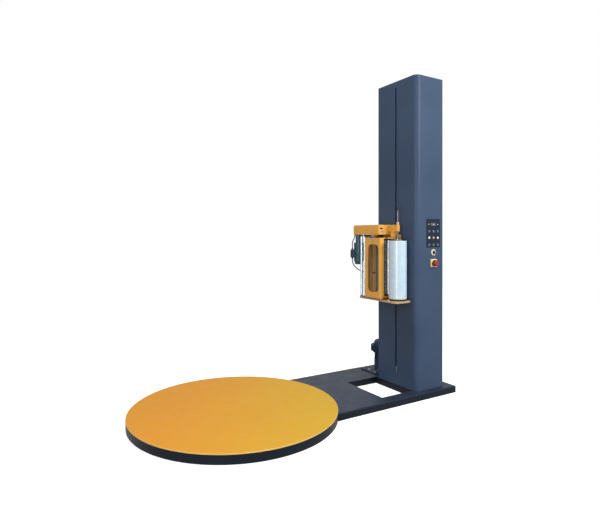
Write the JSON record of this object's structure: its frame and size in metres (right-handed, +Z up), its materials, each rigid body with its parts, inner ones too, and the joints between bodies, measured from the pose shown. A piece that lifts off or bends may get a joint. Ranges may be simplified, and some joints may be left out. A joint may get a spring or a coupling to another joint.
{
  "type": "turntable pallet wrapper",
  "caption": "Turntable pallet wrapper: round turntable in a low base, slotted mast, and a sliding film carriage with a tilting roller door, film roll, chain drive and belt lift.",
  "frame": {"origin": "on the floor, on the turntable's axis", "axes": "+Z up, +X from the turntable towards the mast, -Y towards the control face"},
  "size_m": [2.8078, 1.6498, 2.88],
  "materials": {
    "slate_paint": "satin powder coat, dark slate blue",
    "table_paint": "semi-gloss orange-yellow paint",
    "carriage_paint": "semi-gloss ochre-yellow powder coat",
    "motor_paint": "teal enamel on cast aluminium",
    "bare_steel": "turned and zinc-plated steel",
    "chrome_steel": "polished hard chrome",
    "roller_nylon": "dark cast nylon",
    "roller_rubber": "ground dark rubber",
    "black_rubber": "black rubber",
    "black_plastic": "matt black plastic",
    "box_grey": "light grey enamel",
    "stretch_film": "wound clear stretch film, pale blue-white",
    "core_board": "spiral-wound grey-brown board",
    "cream_plastic": "cream plastic",
    "key_plastic": "pale moulded keys",
    "signal_yellow": "yellow plastic",
    "signal_red": "red plastic"
  },
  "bodies": {
    "frame": {"base_pan": "slate_paint", "deck": "slate_paint", "pivot_post": "bare_steel", "roller_brackets": "bare_steel", "drive_chain": "bare_steel", "gearmotor": "slate_paint", "floor_bolts": "bare_steel", "mast_shell": "slate_paint", "mast_cap": "slate_paint", "mast_rear_panel": "slate_paint", "guide_rails": "bare_steel", "lift_gearmotor": "motor_paint", "lift_belt": "black_rubber", "control_box": "box_grey", "keypad_plate": "black_plastic", "selector_ring": "cream_plastic", "estop_base": "signal_yellow"},
    "turntable": {"turntable_plate": "table_paint", "table_sprocket": "bare_steel"},
    "drive_sprocket": {"drive_sprocket": "bare_steel"},
    "carriage": {"trolley": "bare_steel", "carriage_frame": "carriage_paint", "gear_housing": "carriage_paint", "bottom_plate": "carriage_paint", "stretch_motor": "motor_paint", "motor_terminal_box": "motor_paint", "motor_cable": "black_rubber"},
    "film": {"film_roll": "stretch_film", "film_core": "core_board", "core_holder": "black_plastic"},
    "door": {"roller_door": "carriage_paint"},
    "support_roller_1": {"support_roller_1": "roller_nylon"},
    "support_roller_2": {"support_roller_2": "roller_nylon"},
    "support_roller_3": {"support_roller_3": "roller_nylon"},
    "support_roller_4": {"support_roller_4": "roller_nylon"},
    "guide_roller_1": {"guide_roller_1": "roller_nylon"},
    "guide_roller_2": {"guide_roller_2": "roller_nylon"},
    "guide_roller_3": {"guide_roller_3": "roller_nylon"},
    "guide_roller_4": {"guide_roller_4": "roller_nylon"},
    "lift_pulley": {"lift_pulley": "bare_steel"},
    "top_pulley": {"top_pulley": "bare_steel"},
    "motor_pinion": {"motor_pinion": "bare_steel"},
    "prestretch_roller_a": {"prestretch_roller_a": "roller_rubber"},
    "prestretch_roller_b": {"prestretch_roller_b": "roller_rubber"},
    "exit_roller": {"exit_roller": "chrome_steel"},
    "guide_idler": {"guide_idler": "chrome_steel"},
    "press_roller": {"press_roller": "roller_rubber"},
    "door_idler": {"door_idler": "chrome_steel"},
    "spindle_pin": {"spindle_pin": "chrome_steel"},
    "selector_knob": {"selector_knob": "black_plastic"},
    "estop_head": {"estop_head": "signal_red"},
    "key_1": {"key_1": "key_plastic"},
    "key_2": {"key_2": "key_plastic"},
    "key_3": {"key_3": "key_plastic"},
    "key_4": {"key_4": "key_plastic"},
    "key_5": {"key_5": "key_plastic"},
    "key_6": {"key_6": "key_plastic"},
    "key_7": {"key_7": "key_plastic"},
    "key_8": {"key_8": "key_plastic"},
    "key_9": {"key_9": "key_plastic"}
  },
  "joints": [
    {"name": "turntable_spin", "type": "hinge", "parent": "frame", "child": "turntable", "pos_m": [0, 0, 0.068], "axis": [0, 0, 1], "continuous": true},
    {"name": "drive_sprocket_spin", "type": "hinge", "parent": "frame", "child": "drive_sprocket", "pos_m": [1.77, 0.265, 0.03], "axis": [0, 0, 1], "continuous": true},
    {"name": "support_roller_1_spin", "type": "hinge", "parent": "frame", "child": "support_roller_1", "pos_m": [0.45255, 0.45255, 0.0397], "axis": [0.7071, 0.7071, 0], "continuous": true},
    {"name": "support_roller_2_spin", "type": "hinge", "parent": "frame", "child": "support_roller_2", "pos_m": [-0.45255, 0.45255, 0.0397], "axis": [-0.7071, 0.7071, 0], "continuous": true},
    {"name": "support_roller_3_spin", "type": "hinge", "parent": "frame", "child": "support_roller_3", "pos_m": [-0.45255, -0.45255, 0.0397], "axis": [-0.7071, -0.7071, 0], "continuous": true},
    {"name": "support_roller_4_spin", "type": "hinge", "parent": "frame", "child": "support_roller_4", "pos_m": [0.45255, -0.45255, 0.0397], "axis": [0.7071, -0.7071, 0], "continuous": true},
    {"name": "carriage_lift", "type": "slide", "parent": "frame", "child": "carriage", "axis": [0, 0, 1], "range_m": [-0.7, 1.1]},
    {"name": "guide_roller_1_spin", "type": "hinge", "parent": "carriage", "child": "guide_roller_1", "pos_m": [1.575, -0.309, 1.17], "axis": [0, 1, 0], "range_deg": [-2800, 2800]},
    {"name": "guide_roller_2_spin", "type": "hinge", "parent": "carriage", "child": "guide_roller_2", "pos_m": [1.575, -0.309, 1.43], "axis": [0, 1, 0], "range_deg": [-2800, 2800]},
    {"name": "guide_roller_3_spin", "type": "hinge", "parent": "carriage", "child": "guide_roller_3", "pos_m": [1.575, -0.087, 1.17], "axis": [0, 1, 0], "range_deg": [-2800, 2800]},
    {"name": "guide_roller_4_spin", "type": "hinge", "parent": "carriage", "child": "guide_roller_4", "pos_m": [1.575, -0.087, 1.43], "axis": [0, 1, 0], "range_deg": [-2800, 2800]},
    {"name": "lift_pulley_spin", "type": "hinge", "parent": "frame", "child": "lift_pulley", "pos_m": [1.6603, -0.198, 0.22], "axis": [0, 1, 0], "range_deg": [-1600, 1600]},
    {"name": "top_pulley_spin", "type": "hinge", "parent": "frame", "child": "top_pulley", "pos_m": [1.6603, -0.198, 2.79], "axis": [0, 1, 0], "range_deg": [-1600, 1600]},
    {"name": "prestretch_a_spin", "type": "hinge", "parent": "carriage", "child": "prestretch_roller_a", "pos_m": [1.42301, 0.04505, 1.15], "axis": [0, 0, 1], "continuous": true},
    {"name": "prestretch_b_spin", "type": "hinge", "parent": "carriage", "child": "prestretch_roller_b", "pos_m": [1.45213, -0.06362, 1.15], "axis": [0, 0, 1], "continuous": true},
    {"name": "motor_pinion_spin", "type": "hinge", "parent": "carriage", "child": "motor_pinion", "pos_m": [1.345, 0.106, 1.48], "axis": [0, 0, 1], "continuous": true},
    {"name": "exit_roller_spin", "type": "hinge", "parent": "carriage", "child": "exit_roller", "pos_m": [1.33, 0.043, 1.15], "axis": [0, 0, 1], "continuous": true},
    {"name": "guide_idler_spin", "type": "hinge", "parent": "carriage", "child": "guide_idler", "pos_m": [1.33, -0.004, 1.15], "axis": [0, 0, 1], "continuous": true},
    {"name": "film_spin", "type": "hinge", "parent": "carriage", "child": "film", "pos_m": [1.445, -0.325, 1.13], "axis": [0, 0, 1], "continuous": true},
    {"name": "spindle_pull", "type": "slide", "parent": "carriage", "child": "spindle_pin", "axis": [0, 0, 1], "range_m": [0, 0.05]},
    {"name": "door_tilt", "type": "hinge", "parent": "carriage", "child": "door", "pos_m": [1.322, -0.144, 0.875], "axis": [0, -1, 0], "range_deg": [0, 35]},
    {"name": "press_roller_spin", "type": "hinge", "parent": "door", "child": "press_roller", "pos_m": [1.41, -0.183, 1.15], "axis": [0, 0, 1], "continuous": true},
    {"name": "door_idler_spin", "type": "hinge", "parent": "door", "child": "door_idler", "pos_m": [1.43, -0.221, 1.15], "axis": [0, 0, 1], "continuous": true},
    {"name": "selector_turn", "type": "hinge", "parent": "frame", "child": "selector_knob", "pos_m": [1.752, -0.458, 1.294], "axis": [0, -1, 0], "range_deg": [0, 90]},
    {"name": "estop_press", "type": "slide", "parent": "frame", "child": "estop_head", "axis": [0, 1, 0], "range_m": [0, 0.004], "stiffness_N_per_m": 1500},
    {"name": "key_1_press", "type": "slide", "parent": "frame", "child": "key_1", "axis": [0, 1, 0], "range_m": [0, 0.001], "stiffness_N_per_m": 600},
    {"name": "key_2_press", "type": "slide", "parent": "frame", "child": "key_2", "axis": [0, 1, 0], "range_m": [0, 0.001], "stiffness_N_per_m": 600},
    {"name": "key_3_press", "type": "slide", "parent": "frame", "child": "key_3", "axis": [0, 1, 0], "range_m": [0, 0.001], "stiffness_N_per_m": 600},
    {"name": "key_4_press", "type": "slide", "parent": "frame", "child": "key_4", "axis": [0, 1, 0], "range_m": [0, 0.001], "stiffness_N_per_m": 600},
    {"name": "key_5_press", "type": "slide", "parent": "frame", "child": "key_5", "axis": [0, 1, 0], "range_m": [0, 0.001], "stiffness_N_per_m": 600},
    {"name": "key_6_press", "type": "slide", "parent": "frame", "child": "key_6", "axis": [0, 1, 0], "range_m": [0, 0.001], "stiffness_N_per_m": 600},
    {"name": "key_7_press", "type": "slide", "parent": "frame", "child": "key_7", "axis": [0, 1, 0], "range_m": [0, 0.001], "stiffness_N_per_m": 600},
    {"name": "key_8_press", "type": "slide", "parent": "frame", "child": "key_8", "axis": [0, 1, 0], "range_m": [0, 0.001], "stiffness_N_per_m": 600},
    {"name": "key_9_press", "type": "slide", "parent": "frame", "child": "key_9", "axis": [0, 1, 0], "range_m": [0, 0.001], "stiffness_N_per_m": 600}
  ],
  "couplings": [
    {"joint": "drive_sprocket_spin", "follows": "turntable_spin", "ratio": 3},
    {"joint": "support_roller_1_spin", "follows": "turntable_spin", "ratio": -29.091},
    {"joint": "support_roller_2_spin", "follows": "turntable_spin", "ratio": -29.091},
    {"joint": "support_roller_3_spin", "follows": "turntable_spin", "ratio": -29.091},
    {"joint": "support_roller_4_spin", "follows": "turntable_spin", "ratio": -29.091},
    {"joint": "guide_roller_1_spin", "follows": "carriage_lift", "rad_per_m": 42.194},
    {"joint": "guide_roller_2_spin", "follows": "carriage_lift", "rad_per_m": -42.194},
    {"joint": "guide_roller_3_spin", "follows": "carriage_lift", "rad_per_m": 42.194},
    {"joint": "guide_roller_4_spin", "follows": "carriage_lift", "rad_per_m": -42.194},
    {"joint": "lift_pulley_spin", "follows": "carriage_lift", "rad_per_m": 22.727},
    {"joint": "top_pulley_spin", "follows": "carriage_lift", "rad_per_m": 22.727},
    {"joint": "prestretch_b_spin", "follows": "prestretch_a_spin", "ratio": -2},
    {"joint": "motor_pinion_spin", "follows": "prestretch_a_spin", "ratio": -3.125}
  ]
}
